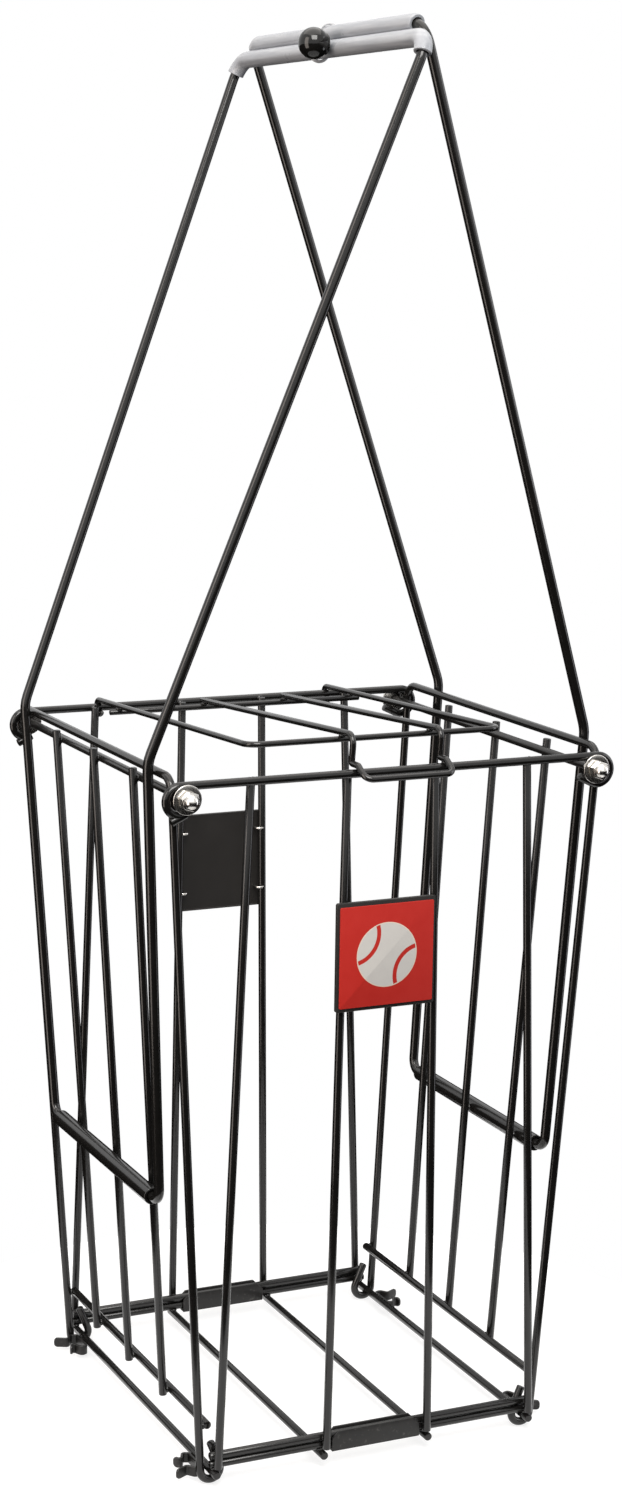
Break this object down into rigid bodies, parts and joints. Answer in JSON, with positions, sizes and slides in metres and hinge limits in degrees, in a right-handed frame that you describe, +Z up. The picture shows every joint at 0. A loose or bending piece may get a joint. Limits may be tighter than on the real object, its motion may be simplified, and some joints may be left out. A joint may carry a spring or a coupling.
{
  "type": "tennis ball hopper",
  "caption": "Wire basket hopper with base rods that balls push through, a hinged wire lid with a latch, and two tall wire bails that serve as carrying handles or swing down as legs.",
  "frame": {"origin": "on the ground under the middle of the basket, with the bails up as handles", "axes": "+Z up, +X across the front to the right, +Y from front to back"},
  "size_m": [0.2785, 0.2772, 0.813],
  "materials": {
    "coated_wire": "glossy black coating",
    "nickel_plate": "bright nickel plate",
    "milky_grip": "milky translucent vinyl, satin",
    "spring_clip": "black spring steel, satin",
    "lock_knob": "polished black plastic",
    "elastic_cord": "milky covered elastic",
    "badge_black": "glossy black plastic",
    "badge_red": "printed red face, satin"
  },
  "bodies": {
    "basket": {"front_rim": "coated_wire", "front_wire_1": "coated_wire", "front_wire_2": "coated_wire", "front_wire_3": "coated_wire", "front_wire_4": "coated_wire", "front_bottom_wire": "coated_wire", "back_rim": "coated_wire", "back_wire_1": "coated_wire", "back_wire_2": "coated_wire", "back_wire_3": "coated_wire", "back_wire_4": "coated_wire", "back_bottom_wire": "coated_wire", "base_front_wire": "coated_wire", "base_back_wire": "coated_wire", "base_rod_1": "coated_wire", "base_rod_2": "coated_wire", "base_rod_3": "coated_wire", "base_rod_4": "coated_wire", "left_frame": "coated_wire", "left_rail": "coated_wire", "left_wire_1": "coated_wire", "left_wire_2": "coated_wire", "left_wire_3": "coated_wire", "left_bottom_bar": "coated_wire", "left_sleeve": "coated_wire", "right_frame": "coated_wire", "right_rail": "coated_wire", "right_wire_1": "coated_wire", "right_wire_2": "coated_wire", "right_wire_3": "coated_wire", "right_bottom_bar": "coated_wire", "right_sleeve": "coated_wire", "front_left_washer": "nickel_plate", "front_left_nut": "nickel_plate", "back_left_washer": "nickel_plate", "back_left_nut": "nickel_plate", "front_right_washer": "nickel_plate", "front_right_nut": "nickel_plate", "back_right_washer": "nickel_plate", "back_right_nut": "nickel_plate", "front_left_leg_clip": "spring_clip", "back_left_leg_clip": "spring_clip", "front_right_leg_clip": "spring_clip", "back_right_leg_clip": "spring_clip", "front_sheet_clip": "spring_clip", "back_sheet_clip": "spring_clip", "front_badge_plate": "badge_black", "back_badge_plate": "badge_black", "front_badge_label": "badge_red"},
    "left_bail": {"left_bail": "coated_wire", "left_grip": "milky_grip", "lock_band": "elastic_cord"},
    "right_bail": {"right_bail": "coated_wire", "right_grip": "milky_grip"},
    "lid": {"lid_frame": "coated_wire", "lid_crossbar": "coated_wire", "lid_latch": "coated_wire"},
    "lock_ball": {"lock_ball": "lock_knob"}
  },
  "joints": [
    {"name": "left_bail_swing", "type": "hinge", "parent": "basket", "child": "left_bail", "pos_m": [-0.12309, 0, 0.1629], "axis": [0, -1, 0], "range_deg": [0, 181.5], "deforming": ["lock_band"]},
    {"name": "right_bail_swing", "type": "hinge", "parent": "basket", "child": "right_bail", "pos_m": [0.12309, 0, 0.1629], "axis": [0, 1, 0], "range_deg": [0, 181.5], "deforming": ["lock_band"]},
    {"name": "lid_hinge", "type": "hinge", "parent": "basket", "child": "lid", "pos_m": [0, 0.125, 0.4073], "axis": [-1, 0, 0], "range_deg": [0, 76]},
    {"name": "lock_ball_pull", "type": "slide", "parent": "left_bail", "child": "lock_ball", "axis": [-1, 0, 0], "range_m": [0, 0.012], "stiffness_N_per_m": 200, "deforming": ["lock_band"]}
  ]
}
